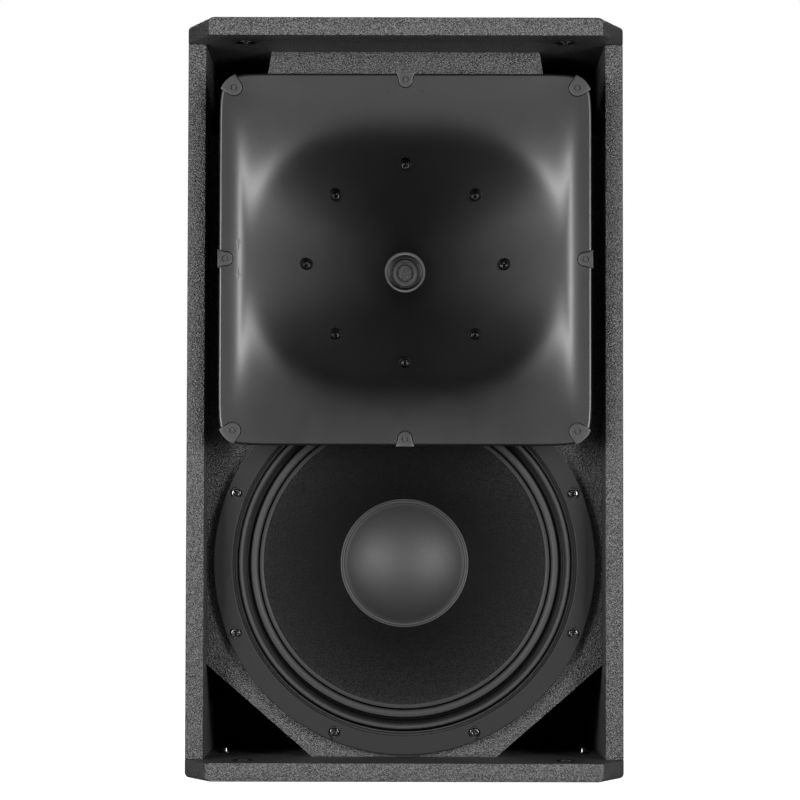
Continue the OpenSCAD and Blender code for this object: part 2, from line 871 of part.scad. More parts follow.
// Pole piece that carries the phase plug's annular channels
module driver_phase_plug() {
    slot_r = driver_exit_r - plug_slot_inset;
    color([0.15, 0.15, 0.15]) at_horn() difference() {
        rod(plug_r, rear_plate_back, magnet_face);
        rod(driver_exit_r, magnet_face - plug_step, magnet_face + 1);
        for (r = [slot_r, slot_r - plug_slot_pitch])
            ring(r, r - plug_slot_w, rear_plate_back + plug_floor, magnet_face - plug_step + 1);
    }
}

module driver_throat_mesh() {
    color([0.4, 0.4, 0.4]) at_horn()
        rod(driver_exit_r - loose, magnet_face - plug_step, magnet_face - plug_step + mesh_t);
}

// Shallow dome behind the phase plug
module driver_diaphragm() {
    sphere_r = (pow(tweeter_coil_r, 2) + pow(dome_sag, 2)) / (2 * dome_sag);
    outer = [for (k = [0 : diaphragm_steps]) let (r = tweeter_coil_r * k / diaphragm_steps)
        [r, diaphragm_edge - dome_sag + sphere_r - sqrt(pow(sphere_r, 2) - pow(r, 2))]];
    inner = [for (k = [diaphragm_steps : -1 : 0]) outer[k] - [0, diaphragm_t]];
    color([0.7, 0.7, 0.72]) at_horn() rotate_extrude() polygon(concat(outer, inner));
}

module driver_suspension() {
    rim_r = tweeter_coil_r + hinge_w;
    color([0.75, 0.6, 0.3]) at_horn() {
        ring(rim_r, tweeter_coil_r + wire_gap, diaphragm_edge - diaphragm_t, diaphragm_edge);
        ring(rim_r, rim_r - hinge_seat_w, diaphragm_edge, rear_plate_back - glued_gap);
    }
}

module driver_voice_coil() {
    color([0.72, 0.42, 0.2]) at_horn()
        ring(tweeter_coil_r, tweeter_coil_r - tweeter_coil_t, diaphragm_edge,
            rear_plate_face + tweeter_coil_out);
}

module driver_back_cover() {
    color([0.1, 0.1, 0.1]) at_horn() difference() {
        rod(cover_r, cover_back, rear_plate_back);
        rod(cover_r - cover_t, cover_back + cover_t, rear_plate_back + 1);
    }
}

module driver_bolts() {
    color([0.45, 0.45, 0.46]) at_horn() at_driver_bolts()
        rod(driver_bolt_r, magnet_face + eps, throat_end + driver_bolt_end);
}

// Terminal block with two tabs on the back of the cover
module driver_terminals() {
    block_w = 24;
    block_t = 8;
    block_h = 8;
    color([0.25, 0.1, 0.08]) at_horn() translate([0, -driver_terminal_drop, cover_back]) {
        translate([-block_w / 2, -block_h / 2, -block_t]) cube([block_w, block_h, block_t]);
        for (s = [-1, 1]) translate([s * tab_spacing / 2 - tab_w / 2, -tab_t / 2, -block_t - tab_len])
            cube([tab_w, tab_t, tab_len]);
    }
}

// ---------- crossover ----------

module at_pcb_holes() {
    for (sx = [-1, 1], y = [pcb_y + pcb_hole_inset, pcb_y + pcb_len - pcb_hole_inset])
        translate([sx * pcb_hole_x, y, 0]) children();
}

module crossover_board() {
    color([0.1, 0.3, 0.15]) difference() {
        translate([-pcb_w / 2, pcb_y, pcb_z]) cube([pcb_w, pcb_len, pcb_t]);
        at_pcb_holes() rod(pcb_hole_r, pcb_z - 1, pcb_z + pcb_t + 1);
    }
}

module crossover_standoffs() {
    color([0.8, 0.8, 0.78]) at_pcb_holes() {
        rod(standoff_r, board_t, pcb_z);
        rod(standoff_pin_r, pcb_z, pcb_z + pcb_t);
        rod(standoff_cap_r, pcb_z + pcb_t, pcb_z + pcb_t + standoff_cap_t);
    }
}

module crossover_inductors() {
    seat = pcb_z + pcb_t;
    color([0.7, 0.4, 0.2]) {
        translate([-28, pcb_y + 98, 0]) ring(27, 11, seat, seat + 24);
        translate([5, pcb_y + 32, 0]) ring(19, 8, seat, seat + 18);
    }
}

module crossover_capacitors() {
    seat = pcb_z + pcb_t;
    r = 9;
    length = 36;
    color([0.75, 0.7, 0.2]) for (y = [pcb_y + 70, pcb_y + 92])
        translate([12, y, seat + r + loose]) rotate([0, 90, 0]) cylinder(r = r, h = length);
}

module crossover_resistors() {
    seat = pcb_z + pcb_t;
    body = [38, 10, 10];
    color([0.9, 0.9, 0.86]) for (y = [pcb_y + 12, pcb_y + 30])
        translate([-55, y, seat]) cube(body);
}

// ---------- input dish ----------

module input_dish() {
    outer_w = dish_w - 2 * dish_lip;
    outer_h = dish_h - 2 * dish_lip;
    slot_w = switch_travel + knob_w + 1;
    color([0.12, 0.12, 0.12]) difference() {
        union() {
            translate([0, 0, dish_z]) slab(dish_y, dish_y + dish_flange_t)
                rounded_rect(dish_w, dish_h, dish_corner_r);
            translate([-outer_w / 2, dish_floor_y, dish_z - outer_h / 2])
                cube([outer_w, dish_depth, outer_h]);
        }
        translate([-outer_w / 2 + dish_t, dish_floor_y + dish_t, dish_z - outer_h / 2 + dish_t])
            cube([outer_w - 2 * dish_t, dish_depth + 5, outer_h - 2 * dish_t]);
        at_sockets() rod(socket_r + loose, -1, dish_t + 1);
        translate([-slot_w / 2, dish_floor_y - 1, dish_z - knob_h / 2 - 0.5])
            cube([slot_w, dish_t + 2, knob_h + 1]);
        at_dish_screws() translate([0, dish_y + dish_flange_t + 1, 0]) rotate([90, 0, 0])
            rod(dish_screw_r + loose, 0, dish_flange_t + 2);
    }
}

// Children on each socket's axis, 0 at the back of the dish's floor, + outward
module at_sockets() {
    for (s = [-1, 1]) translate([s * socket_x, dish_floor_y, dish_z]) rotate([-90, 0, 0])
        children();
}

module input_sockets() {
    body_len = 20;
    color([0.08, 0.08, 0.08]) at_sockets() difference() {
        union() {
            rod(socket_r, -body_len, dish_t);
            rod(socket_flange_r, dish_t, dish_t + socket_flange_t);
        }
        rod(socket_bore_r, socket_floor - body_len, dish_t + socket_flange_t + 1);
    }
}

module input_dish_screws() {
    color([0.3, 0.3, 0.31]) at_dish_screws() translate([0, dish_y + dish_flange_t, 0])
        rotate([-90, 0, 0]) {
            rod(dish_screw_r, -dish_screw_len, 0);
            rod(dish_screw_head_r, 0, dish_screw_head_t);
        }
}

module mode_switch_housing() {
    slot_w = switch_travel + knob_w + 1;
    color([0.1, 0.1, 0.1]) difference() {
        translate([-switch_w / 2, dish_floor_y - switch_d, dish_z - switch_h / 2])
            cube([switch_w, switch_d, switch_h]);
        translate([-slot_w / 2, dish_floor_y - switch_d + switch_floor, dish_z - knob_h / 2 - 0.5])
            cube([slot_w, switch_d, knob_h + 1]);
    }
}

module mode_switch_slider() {
    color([0.75, 0.75, 0.73])
        translate([-switch_travel / 2 - knob_w / 2, dish_floor_y - switch_d + knob_start,
            dish_z - knob_h / 2])
        cube([knob_w, switch_d - knob_start + dish_t + knob_out, knob_h]);
}

// ---------- cables and wadding ----------

function unit(v) = v / norm(v);
function between(p, i, u) = let (
        a = p[max(i - 1, 0)], b = p[i], c = p[i + 1], d = p[min(i + 2, len(p) - 1)])
    0.5 * ((2 * b) + (c - a) * u + (2 * a - 5 * b + 4 * c - d) * u * u
        + (3 * b - a - 3 * c + d) * u * u * u);
function smooth(p) = concat([for (i = [0 : len(p) - 2], s = [0 : cable_steps - 1])
    between(p, i, s / cable_steps)], [p[len(p) - 1]]);
function cable_ring(path, i) = let (
        forward = unit(path[min(i + 1, len(path) - 1)] - path[max(i - 1, 0)]),
        side = unit(cross(forward, [1, 0.15, 0.1])), up = cross(forward, side))
    [for (k = [0 : cable_sides - 1]) let (t = 360 * k / cable_sides)
        path[i] + cable_r * (cos(t) * side + sin(t) * up)];

module cable(route) {
    path = smooth(route);
    color([0.5, 0.08, 0.08]) loft([for (i = [0 : len(path) - 1]) cable_ring(path, i)]);
}

module input_cable() {
    cable(input_route);
}

module woofer_cable() {
    cable(woofer_route);
}

module driver_cable() {
    cable(driver_route);
}

// Damping mat on the inside of the back panel, above the brace
module acoustic_wadding() {
    mat = [240, 35, 200];
    lift = 5;
    color([0.75, 0.75, 0.72])
        translate([-mat[0] / 2, y_panel - mat[1], brace_z + board_t + lift]) cube(mat);
}

top_panel();
bottom_panel();
left_side_panel();
right_side_panel();
back_panel();
front_baffle();
window_brace();
lower_port_boards();
upper_port_walls();
upper_port_floors();
baffle_battens();
rigging_inserts_top();
rigging_inserts_bottom();
base_inserts();
base_bolts();
woofer_basket();
woofer_gasket();
woofer_surround();
woofer_cone();
woofer_dust_cap();
woofer_coil_former();
woofer_voice_coil();
woofer_spider();
woofer_top_plate();
woofer_magnet();
woofer_pole_plate();
woofer_terminals();
woofer_bolts();
woofer_tee_nuts();
horn();
horn_screws();
horn_flange_caps();
horn_gasket();
driver_front_plate();
driver_phase_plug();
driver_throat_mesh();
driver_diaphragm();
driver_suspension();
driver_voice_coil();
driver_magnet();
driver_rear_plate();
driver_back_cover();
driver_bolts();
driver_terminals();
crossover_board();
crossover_inductors();
crossover_capacitors();
crossover_resistors();
crossover_standoffs();
input_dish();
input_sockets();
input_dish_screws();
mode_switch_housing();
mode_switch_slider();
input_cable();
woofer_cable();
driver_cable();
acoustic_wadding();
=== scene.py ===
"""Two-way loudspeaker cabinet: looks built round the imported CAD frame. Units are metres."""
import json
import math

import bmesh
import bpy
import numpy as np
from mathutils import Matrix, Vector


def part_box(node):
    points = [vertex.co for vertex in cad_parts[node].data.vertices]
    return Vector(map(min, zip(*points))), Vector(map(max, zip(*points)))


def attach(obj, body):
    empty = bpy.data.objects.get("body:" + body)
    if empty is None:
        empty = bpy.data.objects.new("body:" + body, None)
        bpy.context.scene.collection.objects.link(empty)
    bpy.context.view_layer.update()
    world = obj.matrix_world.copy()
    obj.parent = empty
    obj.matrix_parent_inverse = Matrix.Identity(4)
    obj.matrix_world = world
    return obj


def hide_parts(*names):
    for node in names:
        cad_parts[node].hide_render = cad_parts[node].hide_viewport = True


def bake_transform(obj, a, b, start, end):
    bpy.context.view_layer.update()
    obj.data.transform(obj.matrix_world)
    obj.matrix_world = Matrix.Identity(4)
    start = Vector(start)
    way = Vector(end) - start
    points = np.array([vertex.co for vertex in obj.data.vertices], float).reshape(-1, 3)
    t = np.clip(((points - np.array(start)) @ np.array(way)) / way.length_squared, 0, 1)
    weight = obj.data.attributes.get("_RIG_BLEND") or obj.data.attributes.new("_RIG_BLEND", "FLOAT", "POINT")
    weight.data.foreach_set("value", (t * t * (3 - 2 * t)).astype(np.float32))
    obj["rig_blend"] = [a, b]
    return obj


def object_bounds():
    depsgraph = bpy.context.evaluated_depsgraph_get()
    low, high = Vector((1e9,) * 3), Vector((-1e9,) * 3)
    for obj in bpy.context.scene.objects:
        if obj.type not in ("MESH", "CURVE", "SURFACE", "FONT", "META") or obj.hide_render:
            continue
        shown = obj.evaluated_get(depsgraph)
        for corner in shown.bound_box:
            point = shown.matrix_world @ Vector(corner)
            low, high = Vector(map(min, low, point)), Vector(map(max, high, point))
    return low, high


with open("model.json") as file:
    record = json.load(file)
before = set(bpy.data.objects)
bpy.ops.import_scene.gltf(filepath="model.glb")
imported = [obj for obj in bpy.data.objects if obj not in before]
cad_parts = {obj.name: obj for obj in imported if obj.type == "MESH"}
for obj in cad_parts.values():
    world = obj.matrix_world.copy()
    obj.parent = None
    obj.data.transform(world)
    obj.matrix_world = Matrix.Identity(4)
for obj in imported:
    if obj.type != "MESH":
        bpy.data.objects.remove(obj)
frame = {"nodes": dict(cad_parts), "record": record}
CAD_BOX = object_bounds()
NODES = frame["nodes"]
MM = 0.001

# ---------- places taken from the frame ----------

BOX_LOW, BOX_HIGH = CAD_BOX
FRONT_Y = BOX_LOW.y
WIDTH = BOX_HIGH.x - BOX_LOW.x
HEIGHT = BOX_HIGH.z
HORN_LOW, HORN_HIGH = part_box("horn")
HORN_Z = (HORN_LOW.z + HORN_HIGH.z) / 2
HORN_HALF = (HORN_HIGH.z - HORN_LOW.z) / 2
MOUTH_Y = HORN_LOW.y
GASKET_LOW, GASKET_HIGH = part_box("woofer_gasket")
WOOFER_Z = (GASKET_LOW.z + GASKET_HIGH.z) / 2
FRAME_R = (GASKET_HIGH.x - GASKET_LOW.x) / 2
BAFFLE_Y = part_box("front_baffle")[0].y
CONE_LOW, CONE_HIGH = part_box("woofer_cone")
CONE_R = (CONE_HIGH.x - CONE_LOW.x) / 2
CAP_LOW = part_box("woofer_dust_cap")[0]

# ---------- camera, light and stage ----------

CAMERA_BACK = 3.140
CAMERA_HEIGHT = 0.222
CAMERA_SIDE = -0.005
CAMERA_PITCH = math.radians(2.77)
CAMERA_ROLL = math.radians(0.12)
CAMERA_LENS = 143.9
FLOOR_GAP = 0.5 * MM


def make_camera():
    data = bpy.data.cameras.new("camera")
    data.lens = CAMERA_LENS
    data.sensor_width = 36.0
    data.clip_end = 50.0
    camera = bpy.data.objects.new("camera", data)
    bpy.context.scene.collection.objects.link(camera)
    turn = (Matrix.Rotation(math.pi / 2 + CAMERA_PITCH, 4, "X")
            @ Matrix.Rotation(CAMERA_ROLL, 4, "Z"))
    place = Matrix.Translation((CAMERA_SIDE, FRONT_Y - CAMERA_BACK, CAMERA_HEIGHT))
    camera.matrix_world = place @ turn
    bpy.context.scene.camera = camera


def area_light(name, place, target, size, power):
    data = bpy.data.lights.new(name, "AREA")
    data.shape = "RECTANGLE"
    data.size, data.size_y = size
    data.energy = power
    light = bpy.data.objects.new(name, data)
    bpy.context.scene.collection.objects.link(light)
    light.location = place
    light.rotation_mode = "QUATERNION"
    light.rotation_quaternion = (Vector(target) - Vector(place)).to_track_quat("-Z", "Y")


# Each pair of lights: name, place of the right-hand one, target, size and power.
LIGHT_PAIRS = (
    ("softbox", (1.75, -2.55, 0.4), (0, -0.2, 0.42), (1.0, 1.4), 140),
    ("side_box", (2.3, -1.6, 0.42), (0, -0.2, 0.45), (0.9, 1.2), 30),
    ("front_box", (1.15, -4.3, 0.3), (0, -0.2, 0.42), (0.7, 1.2), 8))


def make_lights():
    for name, (x, y, z), target, size, power in LIGHT_PAIRS:
        for side in (-1, 1):
            area_light(f"{name}_{side}", (x * side, y, z), target, size, power)
    area_light("back_box", (0, 2.0, 2.3), (0, 0, HEIGHT / 2), (2.2, 1.2), 55)


def make_world():
    world = bpy.data.worlds.new("world")
    world.use_nodes = True
    tree = world.node_tree
    shown = tree.nodes["Background"]
    shown.inputs["Color"].default_value = (1, 1, 1, 1)
    shown.inputs["Strength"].default_value = 1.0
    lit = tree.nodes.new("ShaderNodeBackground")
    lit.inputs["Color"].default_value = (1, 1, 1, 1)
    lit.inputs["Strength"].default_value = 0.03
    path = tree.nodes.new("ShaderNodeLightPath")
    mix = tree.nodes.new("ShaderNodeMixShader")
    tree.links.new(path.outputs["Is Camera Ray"], mix.inputs["Fac"])
    tree.links.new(lit.outputs[0], mix.inputs[1])
    tree.links.new(shown.outputs[0], mix.inputs[2])
    tree.links.new(mix.outputs[0], tree.nodes["World Output"].inputs["Surface"])
    bpy.context.scene.world = world


def make_floor():
    """A pale floor that stays white to the camera and throws little light on the cabinet."""
    mesh = bpy.data.meshes.new("floor")
    reach = 9.0
    corners = [(-reach, -reach, 0), (reach, -reach, 0), (reach, reach, 0), (-reach, reach, 0)]
    mesh.from_pydata(corners, [], [(0, 1, 2, 3)])
    floor = bpy.data.objects.new("floor", mesh)
    bpy.context.scene.collection.objects.link(floor)
    floor.location.z = -FLOOR_GAP
    material = bpy.data.materials.new("floor_paint")
    material.use_nodes = True
    shader = material.node_tree.nodes["Principled BSDF"]
    shader.inputs["Base Color"].default_value = (0.22, 0.22, 0.22, 1)
    shader.inputs["Roughness"].default_value = 0.9
    shader.inputs["Emission Color"].default_value = (1, 1, 1, 1)
    path = material.node_tree.nodes.new("ShaderNodeLightPath")
    material.node_tree.links.new(path.outputs["Is Camera Ray"],
                                 shader.inputs["Emission Strength"])
    mesh.materials.append(material)


# ---------- materials ----------


class Shader:
    """A principled material with short calls for the nodes used here."""

    def __init__(self, name, color, roughness, metallic=0.0, specular=0.5):
        self.material = bpy.data.materials.new(name)
        self.material.use_nodes = True
        self.tree = self.material.node_tree
        self.bsdf = self.tree.nodes["Principled BSDF"]
        self.bsdf.inputs["Base Color"].default_value = (*color, 1)
        self.bsdf.inputs["Roughness"].default_value = roughness
        self.bsdf.inputs["Metallic"].default_value = metallic
        self.bsdf.inputs["Specular IOR Level"].default_value = specular
        self.coords = self.tree.nodes.new("ShaderNodeTexCoord").outputs["Object"]

    def link(self, a, b):
        self.tree.links.new(a, b)

    def noise(self, scale, detail=3.0, roughness=0.5, vector=None):
        node = self.tree.nodes.new("ShaderNodeTexNoise")
        node.inputs["Scale"].default_value = scale
        node.inputs["Detail"].default_value = detail
        node.inputs["Roughness"].default_value = roughness
        self.link(vector or self.coords, node.inputs["Vector"])
        return node.outputs["Fac"]

    def voronoi(self, scale, smooth):
        node = self.tree.nodes.new("ShaderNodeTexVoronoi")
        node.feature = "SMOOTH_F1"
        node.inputs["Scale"].default_value = scale
        node.inputs["Smoothness"].default_value = smooth
        self.link(self.coords, node.inputs["Vector"])
        return node.outputs["Distance"]

    def ramp(self, value, low, high, start=(0, 0, 0), end=(1, 1, 1)):
        node = self.tree.nodes.new("ShaderNodeValToRGB")
        node.color_ramp.elements[0].position = low
        node.color_ramp.elements[1].position = high
        node.color_ramp.elements[0].color = (*start, 1)
        node.color_ramp.elements[1].color = (*end, 1)
        self.link(value, node.inputs["Fac"])
        return node.outputs["Color"]

    def multiply(self, a, b):
        """The product of two single values."""
        node = self.tree.nodes.new("ShaderNodeMath")
        node.operation = "MULTIPLY"
        self.link(a, node.inputs[0])
        self.link(b, node.inputs[1])
        return node.outputs[0]

    def vector_math(self, kind, vector, other=None):
        """The node for a vector and a constant; its outputs are Vector and Value."""
        node = self.tree.nodes.new("ShaderNodeVectorMath")
        node.operation = kind
        self.link(vector, node.inputs[0])
        if other is not None:
            node.inputs[1].default_value = other
        return node

    def scaled(self, factors):
        return self.vector_math("MULTIPLY", self.coords, factors).outputs[0]

    def radial(self, axis_z):
        """Distance from an axis along Y at height axis_z."""
        shifted = self.vector_math("SUBTRACT", self.coords, (0, 0, axis_z)).outputs[0]
        flat = self.vector_math("MULTIPLY", shifted, (1, 0, 1)).outputs[0]
        return self.vector_math("LENGTH", flat).outputs["Value"]

    def tones(self, value, low, high, stops):
        """Grey tones along a value that runs from low to high, as (value, tone) stops."""
        share = self.tree.nodes.new("ShaderNodeMapRange")
        share.inputs["From Min"].default_value = low
        share.inputs["From Max"].default_value = high
        self.link(value, share.inputs["Value"])
        node = self.tree.nodes.new("ShaderNodeValToRGB")
        elements = node.color_ramp.elements
        while len(elements) < len(stops):
            elements.new(0.5)
        for element, (at, tone) in zip(elements, stops):
            element.position = (at - low) / (high - low)
            element.color = (tone, tone, tone, 1)
        self.link(share.outputs["Result"], node.inputs["Fac"])
        return node.outputs["Color"]

    def product(self, a, b):
        """The product of two colours."""
        node = self.tree.nodes.new("ShaderNodeVectorMath")
        node.operation = "MULTIPLY"
        self.link(a, node.inputs[0])
        self.link(b, node.inputs[1])
        return node.outputs[0]

    def bump(self, height, distance):
        """Adds a bump on top of any that the material already has."""
        node = self.tree.nodes.new("ShaderNodeBump")
        node.inputs["Distance"].default_value = distance
        node.inputs["Strength"].default_value = 1.0
        self.link(height, node.inputs["Height"])
        previous = self.bsdf.inputs["Normal"].links
        if previous:
            self.link(previous[0].from_socket, node.inputs["Normal"])
        self.link(node.outputs["Normal"], self.bsdf.inputs["Normal"])

    def color(self, socket):
        self.link(socket, self.bsdf.inputs["Base Color"])

    def roughness(self, value, low, high):
        node = self.tree.nodes.new("ShaderNodeMapRange")
        node.inputs["To Min"].default_value = low
        node.inputs["To Max"].default_value = high
        self.link(value, node.inputs["Value"])
        self.link(node.outputs["Result"], self.bsdf.inputs["Roughness"])


def textured_paint(name, dark, light):
    """Sprayed structure paint: small pebbles, some of them catching the light."""
    depth = 0.0005
    s = Shader(name, dark, 0.5, specular=0.45)
    pebbles = s.noise(620, 2.0, 0.5)
    fine = s.noise(1100, 2.0, 0.6)
    s.color(s.ramp(s.noise(980, 1.0), 0.44, 0.6, dark, light))
    s.roughness(s.noise(9, 3.0), 0.4, 0.5)
    s.bump(s.ramp(pebbles, 0.36, 0.68), depth)
    s.bump(fine, depth * 0.4)
    return s.material


def satin_plastic(name, color, roughness, specular=0.5):
    """Moulded plastic or rubber with a very fine grain."""
    s = Shader(name, color, roughness, specular=specular)
    tone = tuple(c * 1.25 for c in color)
    s.color(s.ramp(s.noise(14, 4.0), 0.3, 0.75, color, tone))
    s.roughness(s.noise(40, 3.0), roughness - 0.03, roughness + 0.04)
    s.bump(s.noise(2200, 2.0), 0.00002)
    return s.material


def metal(name, color, roughness):
    s = Shader(name, color, roughness, metallic=1.0)
    s.roughness(s.noise(300, 4.0), roughness * 0.8, roughness * 1.25)
    s.bump(s.noise(900, 3.0), 0.00003)
    return s.material


def mottled(name, dark, light, roughness, scale, depth):
    """A matte surface whose specks vary in tone and height."""
    s = Shader(name, dark, roughness)
    speck = s.noise(scale, 4.0, 0.6)
    s.color(s.ramp(speck, 0.35, 0.7, dark, light))
    s.roughness(s.noise(scale * 0.2, 3.0), roughness - 0.06, roughness + 0.06)
    s.bump(speck, depth)
    return s.material


def plywood(name):
    s = Shader(name, (0.5, 0.36, 0.22), 0.6)
    grain = s.noise(60, 6.0, 0.6, s.scaled((1, 0.08, 1)))
    s.color(s.ramp(grain, 0.3, 0.7, (0.42, 0.29, 0.17), (0.6, 0.45, 0.29)))
    s.roughness(grain, 0.5, 0.7)
    s.bump(grain, 0.0002)
    return s.material


def wound_wire(name, color):
    """Turns of wire side by side."""
    s = Shader(name, color, 0.3, 0.9)
    wave = s.tree.nodes.new("ShaderNodeTexWave")
    wave.bands_direction = "Y"
    wave.inputs["Scale"].default_value = 500
    s.link(s.coords, wave.inputs["Vector"])
    s.bump(wave.outputs["Fac"], 0.0003)
    s.roughness(s.noise(80), 0.24, 0.4)
    return s.material


def woven(name, dark, light, roughness, threads, depth):
    """Two crossing waves of threads, mixed as a plain weave."""
    s = Shader(name, dark, roughness)
    waves = []
    for direction in ("X", "Z"):
        wave = s.tree.nodes.new("ShaderNodeTexWave")
        wave.bands_direction = direction
        wave.inputs["Scale"].default_value = threads
        s.link(s.coords, wave.inputs["Vector"])
        waves.append(wave.outputs["Fac"])
    weave = s.multiply(waves[0], waves[1])
    s.color(s.ramp(weave, 0.1, 0.8, dark, light))
    s.roughness(s.noise(30), roughness - 0.05, roughness + 0.05)
    s.bump(weave, depth)
    return s.material


# Painted shade as grey tones by radius from the woofer's axis, in metres: the cone darker towards the dust
# cap and lighter towards its edge, the surround nearly black in its grooves.
CONE_SHADE_TONES = ((0.06, 0.004), (0.08, 0.006), (0.105, 0.012), (0.135, 0.021), (0.146, 0.032))
ROLL_GROOVE_SHADE_TONES = ((0.1462, 0.03), (0.1468, 0.001), (0.1478, 0.001), (0.1486, 0.036), (0.1546, 0.036),
              (0.156, 0.001), (0.1573, 0.008), (0.1585, 0.001), (0.1616, 0.001), (0.163, 0.04),
              (0.1668, 0.036), (0.168, 0.001), (0.1715, 0.001), (0.1728, 0.02))


def cone_paper(name):
    """Matte paper with a fine embossed lattice; painted shade by radius makes it darker towards the dust cap
    and lighter towards the edge.
    """
    s = Shader(name, (0.02, 0.02, 0.021), 0.6, specular=0.06)
    lattice = s.voronoi(700, 0.2)
    fibre = s.noise(260, 5.0, 0.65)
    paper = s.product(s.ramp(fibre, 0.3, 0.75, (0.65, 0.65, 0.66), (1.0, 1.0, 1.02)),
                      s.ramp(lattice, 0.15, 0.6, (1.0, 1.0, 1.0), (0.35, 0.35, 0.35)))
    # painted shade: the paper's tone by radius darkens towards the dust cap and brightens towards the edge
    painted_shade = s.tones(s.radial(WOOFER_Z), 0.06, 0.146, CONE_SHADE_TONES)
    s.color(s.product(paper, painted_shade))
    s.roughness(fibre, 0.52, 0.7)
    s.bump(lattice, 0.0005)
    s.bump(fibre, 0.0001)
    return s.material


def surround_cloth(name):
    """Doped pleated cloth: grey on the rolls, with painted shade making it nearly black down in the grooves.
    """
    s = Shader(name, (0.03, 0.03, 0.03), 0.42, specular=0.08)
    weave = s.noise(900, 2.0, 0.6)
    cloth = s.ramp(weave, 0.3, 0.7, (0.75, 0.75, 0.75), (1.0, 1.0, 1.0))
    # painted shade: the tones by radius turn nearly black down in the grooves, where shadow falls
    s.color(s.product(cloth, s.tones(s.radial(WOOFER_Z), 0.145, 0.174, ROLL_GROOVE_SHADE_TONES)))
    s.roughness(s.noise(60), 0.4, 0.5)
    s.bump(weave, 0.0001)
    return s.material


def gauze(name):
    """Woven wire whose holes are painted near-black, as painted shade for the gaps in the weave."""
    s = Shader(name, (0.05, 0.05, 0.05), 0.4, 0.8)
    holes = s.voronoi(1100, 0.0)
    # painted shade: near-black in the holes of the weave, lighter on the wire
    s.color(s.ramp(holes, 0.25, 0.5, (0.002, 0.002, 0.002), (0.03, 0.03, 0.03)))
    s.roughness(s.noise(60), 0.3, 0.5)
    s.bump(holes, 0.0004)
    return s.material


def make_materials():
    paint_dark, paint_light = (0.0015, 0.0015, 0.0016), (0.054, 0.054, 0.055)
    return {
        "cabinet_paint": textured_paint("cabinet_paint", paint_dark, paint_light),
        "port_paint": textured_paint("port_paint", (0.008,) * 3, (0.02,) * 3),
        "raw_plywood": plywood("raw_plywood"),
        "basket_paint": mottled("basket_paint", (0.012,) * 3, (0.02,) * 3, 0.4, 700, 0.0001),
        "gasket_ring": satin_plastic("gasket_ring", (0.003, 0.0029, 0.0028), 0.56, specular=0.25),
        "surround_cloth": surround_cloth("surround_cloth"),
        "cone_paper": cone_paper("cone_paper"),
        "dust_cap_paper": mottled("dust_cap_paper", (0.008,) * 3, (0.012,) * 3, 0.6, 1200,
                                  0.00006),
        "coil_former": satin_plastic("coil_former", (0.5, 0.3, 0.08), 0.3),
        "copper_wire": wound_wire("copper_wire", (0.75, 0.35, 0.16)),
        "spider_cloth": woven("spider_cloth", (0.45, 0.32, 0.12), (0.65, 0.5, 0.24), 0.7, 300,
                              0.0002),
        "magnet_steel": metal("magnet_steel", (0.1, 0.1, 0.1), 0.4),
        "ferrite": mottled("ferrite", (0.02,) * 3, (0.035,) * 3, 0.6, 300, 0.0001),
        "terminal_plastic": satin_plastic("terminal_plastic", (0.1, 0.02, 0.012), 0.4),
        "bolt_steel": metal("bolt_steel", (0.09, 0.09, 0.09), 0.13),
        "zinc_steel": metal("zinc_steel", (0.6, 0.6, 0.57), 0.3),
        "insert_steel": metal("insert_steel", (0.012, 0.012, 0.012), 0.38),
        "horn_plastic": satin_plastic("horn_plastic", (0.0015, 0.0015, 0.0016), 0.4),
        "cap_plastic": satin_plastic("cap_plastic", (0.005, 0.005, 0.0052), 0.48),
        "foam": mottled("foam", (0.01,) * 3, (0.02,) * 3, 0.85, 500, 0.0004),
        "throat_mesh": gauze("throat_mesh"),
        "throat_ring": metal("throat_ring", (0.05, 0.05, 0.05), 0.36),
        "titanium": metal("titanium", (0.6, 0.58, 0.6), 0.25),
        "driver_plastic": satin_plastic("driver_plastic", (0.015,) * 3, 0.4),
        "circuit_board": mottled("circuit_board", (0.01, 0.08, 0.03), (0.02, 0.14, 0.05), 0.35,
                                 60, 0.00005),
        "film_capacitor": satin_plastic("film_capacitor", (0.6, 0.45, 0.04), 0.25),
        "ceramic_resistor": mottled("ceramic_resistor", (0.65,) * 3, (0.8, 0.8, 0.76), 0.7, 400,
                                    0.0002),
        "nylon": satin_plastic("nylon", (0.7, 0.7, 0.66), 0.45),
        "dish_plastic": mottled("dish_plastic", (0.012,) * 3, (0.018,) * 3, 0.5, 1100, 0.0001),
        "socket_plastic": satin_plastic("socket_plastic", (0.012, 0.012, 0.014), 0.3),
        "switch_plastic": satin_plastic("switch_plastic", (0.6, 0.6, 0.56), 0.35),
        "cable_jacket": satin_plastic("cable_jacket", (0.3, 0.015, 0.012), 0.45),
        "wadding": mottled("wadding", (0.6, 0.58, 0.53), (0.8, 0.79, 0.74), 0.95, 250, 0.002),
    }


MATERIALS = make_materials()
SLOTS = {row["node"]: row["material_slot"] for row in frame["record"]["subparts"]}

# ---------- mesh helpers ----------


def add_piece(name, mesh, slot, body="cabinet", smooth_angle=40.0, material=None):
    """Links a mesh as a piece that rides on a body, shaded smooth up to smooth_angle."""
    piece = bpy.data.objects.new(name, mesh)
    bpy.context.scene.collection.objects.link(piece)
    mesh.materials.clear()
    mesh.materials.append(MATERIALS[material or slot])
    mesh.polygons.foreach_set("use_smooth", [True] * len(mesh.polygons))
    mesh.set_sharp_from_angle(angle=math.radians(smooth_angle))
    if body:
        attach(piece, body)
    return piece


def solid_mesh(name, points, faces):
    """A mesh whose faces all point outward."""
    mesh = bpy.data.meshes.new(name)
    mesh.from_pydata(points, [], faces)
    bm = bmesh.new()
    bm.from_mesh(mesh)
    bmesh.ops.recalc_face_normals(bm, faces=bm.faces)
    bm.to_mesh(mesh)
    bm.free()
    return mesh


